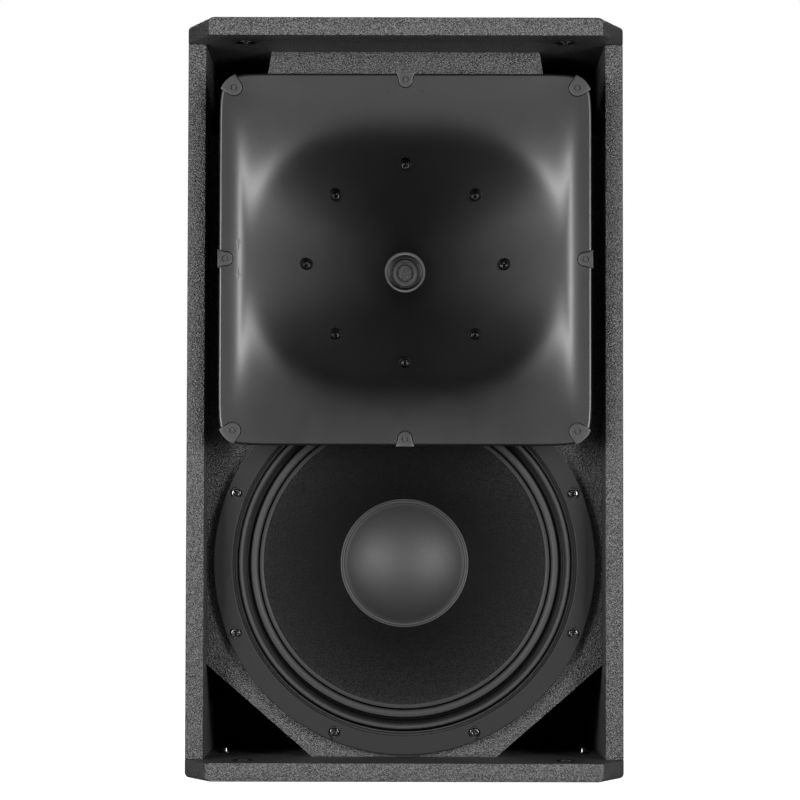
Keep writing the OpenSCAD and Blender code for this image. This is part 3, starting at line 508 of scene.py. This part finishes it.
def ring(centre, r, y, segments):
    """Points of a circle about an axis along Y, its centre given as (x, z)."""
    turns = [2 * math.pi * k / segments for k in range(segments)]
    return [(centre[0] + r * math.cos(t), y, centre[1] + r * math.sin(t)) for t in turns]


def grid_mesh(name, rows, close_rows=False, hub_first=False, hub_last=False):
    """A mesh through rows of equal numbers of points, each row a closed loop."""
    rows = [np.asarray(row, float) for row in rows]
    n, m = len(rows[0]), len(rows)
    points = np.vstack(rows).tolist()
    pairs = m if close_rows else m - 1
    faces = []
    for i in range(pairs):
        j = (i + 1) % m
        for k in range(n):
            q = (k + 1) % n
            faces.append((i * n + k, i * n + q, j * n + q, j * n + k))
    for is_hub, row in ((hub_first, 0), (hub_last, m - 1)):
        if is_hub:
            points.append(rows[row].mean(axis=0).tolist())
            hub = len(points) - 1
            for k in range(n):
                faces.append((row * n + k, hub, row * n + (k + 1) % n))
    return solid_mesh(name, points, faces)


def lathe(name, profile, centre, segments):
    """Turns a closed loop of (radius, y) points about the axis along Y through (x, z)."""
    rows = [ring(centre, r, y, segments) for r, y in profile]
    return grid_mesh(name, rows, close_rows=True)


def cylinder_mesh(name, centre, radius, y0, y1):
    rows = [ring(centre, radius, y, 48) for y in (y0, y1)]
    return grid_mesh(name, rows, hub_first=True, hub_last=True)


def prism(name, near, far):
    """A closed solid between two outlines with equal numbers of points."""
    n = len(near)
    faces = [tuple(range(n)), tuple(range(2 * n - 1, n - 1, -1))]
    faces += [(i, i + n, (i + 1) % n + n, (i + 1) % n) for i in range(n)]
    return solid_mesh(name, near + far, faces)


def cut(piece, cutters):
    """Cuts closed meshes out of a loose object, removes it and them, and gives its new mesh."""
    for cutter in cutters:
        tool = piece.modifiers.new("cut", "BOOLEAN")
        tool.operation = "DIFFERENCE"
        tool.solver = "EXACT"
        tool.object = cutter
    graph = bpy.context.evaluated_depsgraph_get()
    result = bpy.data.meshes.new_from_object(piece.evaluated_get(graph))
    for item in (piece, *cutters):
        bpy.data.objects.remove(item)
    return result


def loose_object(name, mesh):
    item = bpy.data.objects.new(name, mesh)
    bpy.context.scene.collection.objects.link(item)
    return item


SHARP_ANGLE = 35.0


def refine(node, width, segments, body="cabinet", soft=None):
    """A CAD node's shape with rounded edges, as a piece that replaces it.

    soft gives a test on an edge and the larger width that such edges are rounded with first."""
    bm = bmesh.new()
    bm.from_mesh(NODES[node].data)
    bmesh.ops.remove_doubles(bm, verts=bm.verts, dist=2e-6)
    bmesh.ops.dissolve_limit(bm, angle_limit=0.004, verts=bm.verts, edges=bm.edges)
    limit = math.radians(SHARP_ANGLE)
    passes = [(lambda e: True, width)]
    if soft:
        passes.insert(0, soft)
    for chosen, offset in passes:
        sharp = [e for e in bm.edges if len(e.link_faces) == 2
                 and e.calc_face_angle(0) > limit and chosen(e)]
        bmesh.ops.bevel(bm, geom=sharp, offset=offset, offset_type="OFFSET", segments=segments,
                        profile=0.5, affect="EDGES", clamp_overlap=True)
    mesh = bpy.data.meshes.new(node + "_finish")
    bm.to_mesh(mesh)
    bm.free()
    piece = add_piece(node + "_finish", mesh, SLOTS[node], body, 30.0)
    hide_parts(node)


# ---------- cabinet ----------


def outer_edge_test(outside):
    """Picks the edges of a board that lie on the cabinet's outer long edges and corners."""
    def chosen(edge):
        at_side = any(abs(v.co.x) > WIDTH / 2 - MM for v in edge.verts)
        return at_side and any(abs(v.co.z - outside) < MM for v in edge.verts)
    return chosen


# Nodes whose edges are rounded: their names, the width and the number of segments.
ROUNDED = (
    (("left_side_panel", "right_side_panel", "front_baffle"), 1.2 * MM, 3),
    (("back_panel",), 0.8 * MM, 2),
    (("rigging_inserts_top", "rigging_inserts_bottom", "base_inserts", "base_bolts"), 0.3 * MM, 2),
    (("input_dish", "input_sockets"), 0.8 * MM, 3),
    (("input_dish_screws", "mode_switch_housing"), 0.4 * MM, 2),
    (("woofer_bolts", "horn_screws"), 0.35 * MM, 2))


def make_rounded_nodes():
    for node, outside in (("top_panel", HEIGHT), ("bottom_panel", BOX_LOW.z)):
        refine(node, 1.5 * MM, 4, soft=(outer_edge_test(outside), 5 * MM))
    for nodes, width, segments in ROUNDED:
        for node in nodes:
            refine(node, width, segments)
    refine("mode_switch_slider", 0.4 * MM, 3, body="switch")


# ---------- horn ----------

BELL_DEPTH = 150 * MM
THROAT_R = 21 * MM
SIDE_SLOPE = 0.64
SIDE_FLARE = 0.0022 / MM
BAND_SLOPE = 0.75
SIDE_LIP_DEPTH = 1.1 * MM
BAND_LIP_DEPTH = 6 * MM
MOUTH_SQUARENESS = 14.8
MOUTH_SQUARENESS_DEPTH = 2.5 * MM
BELL_SQUARENESS = 1.0
RIM = 2.5 * MM
RIM_BACK = 9 * MM
BELL_WALL = 5 * MM
WELL_CIRCLE_R = 100 * MM
WELL_R = 6.25 * MM
WELL_DEPTH = 14.5 * MM
BELL_TURNS = 288
RIM_ROWS, FRONT_ROWS, BACK_ROWS = 5, 84, 30
ROW_CROWDING = 1.9
BACK_GROWTH = 0.6 * MM
RIM_LEDGE = 3.0 * MM
CUTTER_REACH = 10 * MM
CORNER_R = 24 * MM
CAP_GAP = 0.8 * MM
CORNER_LOBE = 170.7 * MM
DOT_GROOVE = (2.2 * MM, 3.3 * MM)
ARROW_BAND = 166 * MM
ARROW_START = 9.5 * MM
ARROW_GROOVE = 0.9 * MM
# Share of the outline and height in millimetres, from a cap's skirt in to its middle.
CAP_STEPS = ((1.0, 2.6), (1.0, 0.15), (0.985, -0.1), (0.95, -0.2), (0.7, -0.2), (0.35, -0.2))
MOUTH_HALF = HORN_HALF - RIM
SIDE_LIP = MOUTH_HALF - THROAT_R - SIDE_SLOPE * BELL_DEPTH - SIDE_FLARE * BELL_DEPTH ** 2
BAND_LIP = MOUTH_HALF - THROAT_R - BAND_SLOPE * BELL_DEPTH


def bell_radius(d, t, grow=0.0):
    """Distance from the horn's axis to the bell's wall, at depth d and angle t."""
    rest = BELL_DEPTH - d
    half_w = (THROAT_R + SIDE_SLOPE * rest + SIDE_FLARE * rest ** 2
              + SIDE_LIP * math.exp(-d / SIDE_LIP_DEPTH))
    half_h = THROAT_R + BAND_SLOPE * rest + BAND_LIP * math.exp(-d / BAND_LIP_DEPTH)
    power = (2 + MOUTH_SQUARENESS * math.exp(-d / MOUTH_SQUARENESS_DEPTH)
             + BELL_SQUARENESS * rest / BELL_DEPTH)
    across = (abs(math.cos(t)) / (half_w + grow)) ** power
    along = (abs(math.sin(t)) / (half_h + grow)) ** power
    return (across + along) ** (-1 / power)


def bell_angles():
    """Angles round the horn, closer together near the four corners."""
    even = [2 * math.pi * k / BELL_TURNS for k in range(BELL_TURNS)]
    return [u + 0.17 * math.sin(4 * u) for u in even]


def bell_row(turns, d, grow=0.0, shift=0.0):
    """The bell's outline at depth d, grown outward and shifted back."""
    row = []
    for t in turns:
        r = bell_radius(d, t, grow)
        row.append((r * math.cos(t), MOUTH_Y + d + shift, HORN_Z + r * math.sin(t)))
    return row


def wall_depth(r, t):
    """Depth behind the mouth where the bell's wall is at radius r and angle t, by bisection."""
    near, far = 0.0, BELL_DEPTH
    for _ in range(40):
        middle = (near + far) / 2
        if bell_radius(middle, t) > r:
            near = middle
        else:
            far = middle
    return (near + far) / 2


def bell_depth_at(x, z):
    """Depth of the bell's wall behind the mouth at a place on its front view."""
    return wall_depth(math.hypot(x, z), math.atan2(z, x))


def make_horn():
    turns = bell_angles()
    rows = []
    for i in range(RIM_ROWS):
        a = math.pi / 2 * i / RIM_ROWS
        rows.append(bell_row(turns, 0.0, RIM * math.cos(a), RIM * (1 - math.sin(a))))
    for i in range(FRONT_ROWS + 1):
        rows.append(bell_row(turns, BELL_DEPTH * (i / FRONT_ROWS) ** ROW_CROWDING))
    for i in range(BACK_ROWS, -1, -1):
        d = BELL_DEPTH * (i / BACK_ROWS) ** ROW_CROWDING
        rows.append(bell_row(turns, d, BACK_GROWTH, BELL_WALL))
    rows.append(bell_row(turns, 0.0, RIM - RIM_LEDGE, RIM_BACK))
    rows.append(bell_row(turns, 0.0, RIM, RIM_BACK))
    mesh = grid_mesh("horn_shell", rows, close_rows=True)
    horn = loose_object("horn_shell", mesh)
    cutters = []
    for k in range(8):
        t = math.pi / 4 * k
        centre = (WELL_CIRCLE_R * math.cos(t), HORN_Z + WELL_CIRCLE_R * math.sin(t))
        surface = MOUTH_Y + wall_depth(WELL_CIRCLE_R, t)
        cutters.append(loose_object("well", cylinder_mesh(
            "well", centre, WELL_R, MOUTH_Y - CUTTER_REACH,
            surface + WELL_DEPTH + 2 * CUTTER_REACH)))
    for k in range(4):
        cutters.append(cap_cutter(corner_cap_outline(CAP_GAP), k))
        cutters.append(cap_cutter(edge_tab_outline(CAP_GAP), k))
    mesh = cut(horn, cutters + arrow_cutters())
    piece = add_piece("horn_shell", mesh, "horn_plastic", smooth_angle=35.0)
    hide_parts("horn")
    for k in range(8):
        make_well(k)


def held_depth_at(x, z):
    """The same depth, with a place past the mouth's edge held just inside it."""
    held = min(1.0, (MOUTH_HALF - 0.4 * MM) / max(abs(x), abs(z)))
    return bell_depth_at(x * held, z * held)


def turned(point, quarter):
    """A point on the front view turned by quarter turns about the horn's axis."""
    x, z = point
    for _ in range(quarter):
        x, z = -z, x
    return x, z


def arc(cx, cz, r, start, end, steps):
    turns = [math.radians(start + (end - start) * i / steps) for i in range(steps + 1)]
    return [(cx + r * math.cos(t), cz + r * math.sin(t)) for t in turns]


def corner_cap_outline(grow=0.0):
    """Leaf shape: the horn's own round corner outside and a round lobe inside."""
    corner = HORN_HALF - CORNER_R
    lobe = CORNER_LOBE
    outside = arc(corner, corner, CORNER_R + 0.4 * MM + grow, 20, 70, 10)
    return outside + arc(lobe, lobe, 8 * MM + grow, 153, 297, 14)


def edge_tab_outline(grow=0.0):
    """Tab that narrows inward from the horn's edge to a round end."""
    edge, end_r = HORN_HALF + 1.2 * MM, 6.8 * MM
    wide = 9.3 * MM
    lobe = edge - 8.2 * MM
    return ([(edge + grow, -wide - grow), (edge + grow, wide + grow)]
            + arc(lobe, 0, end_r + grow, 80, 280, 18))


def inside_point(outline, share, centre):
    return [(centre[0] + (x - centre[0]) * share, centre[1] + (z - centre[1]) * share)
            for x, z in outline]


def cap_rows(outline, quarter):
    """Rows of a cap, from its sunken skirt up and in to its middle, on the bell's own surface."""
    xs, zs = [p[0] for p in outline], [p[1] for p in outline]
    centre = (sum(xs) / len(xs), sum(zs) / len(zs))
    rows = []
    for share, sink in CAP_STEPS:
        row = []
        for point in inside_point(outline, share, centre):
            x, z = turned(point, quarter)
            row.append((x, MOUTH_Y + held_depth_at(x, z) + sink * MM, HORN_Z + z))
        rows.append(row)
    return rows


def dot_cutter(centre, quarter):
    """Tube that makes the round groove of a moulding dot in a cap."""
    x, z = turned(centre, quarter)
    y = MOUTH_Y + held_depth_at(x, z)
    inner, outer = DOT_GROOVE
    profile = [(inner, y + 1.0 * MM), (inner, y - 4.0 * MM), (outer, y - 4.0 * MM),
               (outer, y + 1.0 * MM)]
    return loose_object("dot_groove", lathe("dot_groove", profile, (x, HORN_Z + z), 32))


def cap_cutter(outline, quarter):
    """Prism that makes the groove round a cap."""
    points = [turned(p, quarter) for p in outline]
    deepest = max(bell_depth_at(x * 0.95, z * 0.95) for x, z in points)
    rows = [[(x, y, HORN_Z + z) for x, z in points]
            for y in (MOUTH_Y - CUTTER_REACH, MOUTH_Y + deepest + 2.4 * MM)]
    return loose_object("cap_recess", grid_mesh("cap_recess", rows, hub_first=True, hub_last=True))


def make_caps():
    """Eight caps over the flange's moulding points, at its corners and mid-sides."""
    corner_dot, tab_dot = (CORNER_LOBE, CORNER_LOBE), (HORN_HALF - 6.2 * MM, 0.0)
    for k in range(4):
        for kind, outline, dot in (("corner_cap", corner_cap_outline(), corner_dot),
                                   ("edge_tab", edge_tab_outline(), tab_dot)):
            name = f"{kind}_{k + 1}"
            cap = loose_object(name + "_blank", grid_mesh(
                name, cap_rows(outline, k), hub_first=True, hub_last=True))
            mesh = cut(cap, [dot_cutter(dot, k)])
            piece = add_piece(name, mesh, "cap_plastic", smooth_angle=30)
            if name == "corner_cap_1":
                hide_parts("horn_flange_caps")


def arrow_outline():
    """Plain arrow that points along +X, in millimetres."""
    return [(0, -1.0), (6, -1.0), (6, -3.0), (11, 0), (6, 3.0), (6, 1.0), (0, 1.0)]


def arrow_cutters():
    """Double arrows moulded into the top and left bands of the flange."""
    cutters = []
    for on_top in (True, False):
        for side in (-1, 1):
            points = []
            for u, v in arrow_outline():
                along = side * (ARROW_START + u * MM)
                points.append((along, ARROW_BAND + v * MM) if on_top
                              else (-ARROW_BAND + v * MM, along))
            near = [(x, MOUTH_Y - CUTTER_REACH, HORN_Z + z) for x, z in points]
            far = [(x, MOUTH_Y + bell_depth_at(x, z) + ARROW_GROOVE, HORN_Z + z)
                   for x, z in points]
            cutters.append(loose_object("arrow", prism("arrow", near, far)))
    return cutters


def make_well(k):
    """The cup that a horn screw sits in, open to the front."""
    t = math.pi / 4 * k
    x, z = WELL_CIRCLE_R * math.cos(t), HORN_Z + WELL_CIRCLE_R * math.sin(t)
    front = MOUTH_Y + wall_depth(WELL_CIRCLE_R, t)
    floor = front + WELL_DEPTH
    reach = 9 * MM
    profile = [(WELL_R, front + reach * 0.25), (WELL_R, floor), (0.3 * MM, floor),
               (0.3 * MM, floor + 1.5 * MM), (WELL_R + 1.4 * MM, floor + 1.5 * MM),
               (WELL_R + 1.4 * MM, front + reach)]
    name = f"horn_well_{k + 1}"
    add_piece(name, lathe(name, profile, (x, z), 48), "horn_plastic")


# ---------- woofer ----------

WOOFER_AXIS = (0.0, WOOFER_Z)
CONE_NECK_R = 50 * MM
CONE_SAG = 3.2 * MM
CONE_PAPER = 1.1 * MM
DOME_R = 60 * MM
GASKET_BOLT_R = 184.4 * MM
GASKET_HOLE_R = 6.2 * MM
# Slots in the gasket: inner radius, outer radius, width and depth in millimetres.
GASKET_NOTCH = (189.5, 200, 2.6, 2.2)
GASKET_SEAM = (150, 180, 0.5, 1.2)
SEAM_ANGLE = math.radians(157.5)
# Rings that flex: node, moving body, height of the axis, radii where all moves and none does.
FLEX_RINGS = (
    ("woofer_spider", "cone", WOOFER_Z, 51 * MM, 78 * MM),
    ("driver_suspension", "diaphragm", HORN_Z, 32.9 * MM, 36 * MM))


def cone_profile():
    """Front of the cone from its neck to its edge, flattening slightly towards the edge."""
    neck_y, edge_y = CONE_HIGH.y - 1.5 * MM, CONE_LOW.y
    points = []
    steps = 60
    for i in range(steps + 1):
        u = i / steps
        r = CONE_NECK_R + (CONE_R - CONE_NECK_R) * u
        points.append((r, neck_y + (edge_y - neck_y) * u + CONE_SAG * math.sin(math.pi * u)))
    return points


def make_cone():
    front = cone_profile()
    back = [(r, y + CONE_PAPER) for r, y in reversed(front)]
    piece = add_piece("cone_skin", lathe("cone_skin", front + back, WOOFER_AXIS, 320),
                      "cone_paper", "cone")
    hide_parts("woofer_cone")


def make_dust_cap():
    peak = CAP_LOW.y
    front = cone_profile()

    def cone_y(r):
        return float(np.interp(r, [p[0] for p in front], [p[1] for p in front]))

    edge = cone_y(DOME_R) - 2.2 * MM
    rise = edge - peak
    ball = (DOME_R ** 2 + rise ** 2) / (2 * rise)
    outer = []
    steps = 36
    for i in range(steps + 1):
        r = max(0.15 * MM, DOME_R * i / steps)
        outer.append((r, peak + ball - math.sqrt(ball ** 2 - r ** 2)))
    bead = [(61.2, -0.9), (62.4, -1.5), (63.6, -1.0), (64.6, -1.6), (65.6, -1.3), (66.0, -0.4)]
    rim = [(r * MM, cone_y(r * MM) + y * MM) for r, y in bead]
    under = [(r, y + 1.0 * MM) for r, y in reversed(outer)]
    under[0] = (DOME_R, cone_y(DOME_R) - 0.3 * MM)
    mesh = lathe("dust_cap_dome", outer + rim + under, WOOFER_AXIS, 240)
    piece = add_piece("dust_cap_dome", mesh, "dust_cap_paper", "cone", smooth_angle=22)
    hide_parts("woofer_dust_cap")


# Front of the surround as (radius, height) in millimetres.
SURROUND_ROLLS = (
    (142.6, 0.0), (144.8, -1.0), (146.2, -2.2), (147.3, 0.8), (148.3, -1.6), (149.5, -4.4),
    (152.0, -5.6), (154.6, -4.4), (155.8, -1.0), (156.6, 0.6), (157.5, -1.4), (158.4, 1.4),
    (160.2, 2.0), (162.0, 1.4), (162.9, -1.6), (163.8, -4.4), (165.4, -5.2), (166.9, -4.4),
    (167.9, -1.0), (169.0, 1.6), (170.6, 2.0), (173.0, 1.4))


def surround_y(r):
    """Front of the pleated surround: two rolls between three grooves, and a thin rib."""
    radii, heights = zip(*SURROUND_ROLLS)
    return BAFFLE_Y + (float(np.interp(r / MM, radii, heights)) - 4) * MM


def make_surround():
    inner, outer = 142.6 * MM, FRAME_R - 20.2 * MM
    steps = 128
    radii = [inner + (outer - inner) * i / steps for i in range(steps + 1)]
    front = [(r, surround_y(r) - 1.1 * MM) for r in radii]
    back = [(r, surround_y(r)) for r in reversed(radii)]
    mesh = lathe("surround_rolls", front + back, WOOFER_AXIS, 320)
    piece = add_piece("surround_rolls", mesh, "surround_cloth", body=None, smooth_angle=75)
    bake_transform(piece, "cabinet", "cone", (outer, BAFFLE_Y, WOOFER_Z), (inner, BAFFLE_Y, WOOFER_Z))
    flex(mesh, inner + 3 * MM, outer - 3 * MM, WOOFER_Z)
    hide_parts("woofer_surround")


def flex(mesh, inner, outer, axis_z):
    """Shares a ring between two bodies by radius: all moving at inner, all fixed at outer."""
    co = np.array([v.co for v in mesh.vertices], float)
    radius = np.hypot(co[:, 0], co[:, 2] - axis_z)
    share = np.clip((outer - radius) / (outer - inner), 0, 1)
    weights = share * share * (3 - 2 * share)
    mesh.attributes["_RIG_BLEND"].data.foreach_set("value", weights.astype(np.float32))


def make_suspensions():
    """The rings that centre the voice coils, which bend between their frames and their coils."""
    for node, body, axis_z, inner, outer in FLEX_RINGS:
        mesh = NODES[node].data.copy()
        piece = add_piece(node + "_ring", mesh, SLOTS[node], body=None, smooth_angle=50)
        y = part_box(node)[0].y
        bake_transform(piece, "cabinet", body, (outer, y, axis_z), (inner, y, axis_z))
        flex(mesh, inner, outer, axis_z)
        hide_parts(node)


def make_gasket():
    front, back = GASKET_LOW.y, GASKET_HIGH.y
    inner = FRAME_R - 19.7 * MM
    soft = 0.9 * MM
    profile = [(inner, back), (inner, front + soft), (inner + soft * 0.3, front + soft * 0.3),
               (inner + soft, front), (inner + 2 * soft, front),
               (FRAME_R - 2 * soft, front), (FRAME_R - soft, front),
               (FRAME_R - soft * 0.3, front + soft * 0.3), (FRAME_R, front + soft),
               (FRAME_R, back)]
    gasket = loose_object("gasket_ring", lathe("gasket_ring", profile, WOOFER_AXIS, 320))
    cutters = []
    for k in range(8):
        t = math.radians(22.5 + 45 * k)
        centre = (GASKET_BOLT_R * math.cos(t), WOOFER_Z + GASKET_BOLT_R * math.sin(t))
        cutters.append(loose_object("hole", cylinder_mesh(
            "hole", centre, GASKET_HOLE_R, front - CUTTER_REACH, back + CUTTER_REACH)))
        cutters.append(seam_cutter(t, GASKET_NOTCH, front))
    cutters.append(seam_cutter(SEAM_ANGLE, GASKET_SEAM, front))
    mesh = cut(gasket, cutters)
    piece = add_piece("gasket_front", mesh, "gasket_ring", smooth_angle=35)
    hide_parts("woofer_gasket")


def seam_cutter(t, slot, front):
    """A radial slot in the gasket, as its inner and outer radius, width and depth."""
    start, end, width, depth = (value * MM for value in slot)
    along, across = Vector((math.cos(t), 0, math.sin(t))), Vector((-math.sin(t), 0, math.cos(t)))
    outlines = []
    for y in (front - 0.005, front + depth):
        spots = [along * r + across * (s * width / 2)
                 for r, s in ((start, -1), (start, 1), (end, 1), (end, -1))]
        outlines.append([(p.x, y, WOOFER_Z + p.z) for p in spots])
    return loose_object("seam", prism("seam", *outlines))


def make_throat():
    """Stepped ring in the driver's bore, in front of its gauze."""
    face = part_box("driver_front_plate")[0].y
    steps = [(18.4, 0.7), (18.0, 0.4), (17.5, 0.7), (16.1, 1.6), (15.6, 1.1), (15.1, 1.1),
             (14.8, 1.8), (14.5, 5.6), (13.9, 6.6), (9.4, 6.2), (8.9, 5.6), (8.3, 5.6),
             (8.0, 6.3), (7.7, 7.4), (7.7, 8.2), (18.4, 8.2)]
    profile = [(r * MM, face + y * MM) for r, y in steps]
    add_piece("throat_ring", lathe("throat_ring", profile, (0.0, HORN_Z), 128), "throat_mesh",
              material="throat_ring", smooth_angle=30)


def make_wadding():
    """Quilted fleece mat on the back panel."""
    lo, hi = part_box("acoustic_wadding")
    bm = bmesh.new()
    bmesh.ops.create_cube(bm, size=1.0)
    bmesh.ops.subdivide_edges(bm, edges=bm.edges, cuts=23, use_grid_fill=True)
    centre, size = (lo + hi) / 2, hi - lo
    for v in bm.verts:
        u, w = v.co.x * 2, v.co.z * 2
        puff = (1 - abs(u) ** 6) * (1 - abs(w) ** 6)
        tufts = 0.82 + 0.18 * abs(math.cos(2.5 * math.pi * u) * math.cos(2.5 * math.pi * w))
        depth = v.co.y * (0.45 + 0.55 * puff * tufts) if v.co.y < 0 else v.co.y
        v.co = Vector((centre.x + v.co.x * size.x, centre.y + depth * size.y,
                       centre.z + v.co.z * size.z))
    mesh = bpy.data.meshes.new("wadding_mat")
    bm.to_mesh(mesh)
    bm.free()
    piece = add_piece("wadding_mat", mesh, "wadding", smooth_angle=80)
    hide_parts("acoustic_wadding")


def paint_cad_nodes():
    for name, node in NODES.items():
        node.data.materials.clear()
        node.data.materials.append(MATERIALS[SLOTS[name]])


bpy.context.scene.view_settings.view_transform = "Standard"
make_camera()
make_lights()
make_world()
make_floor()
paint_cad_nodes()
make_rounded_nodes()
make_horn()
make_caps()
make_throat()
make_cone()
make_dust_cap()
make_surround()
make_suspensions()
make_gasket()
make_wadding()
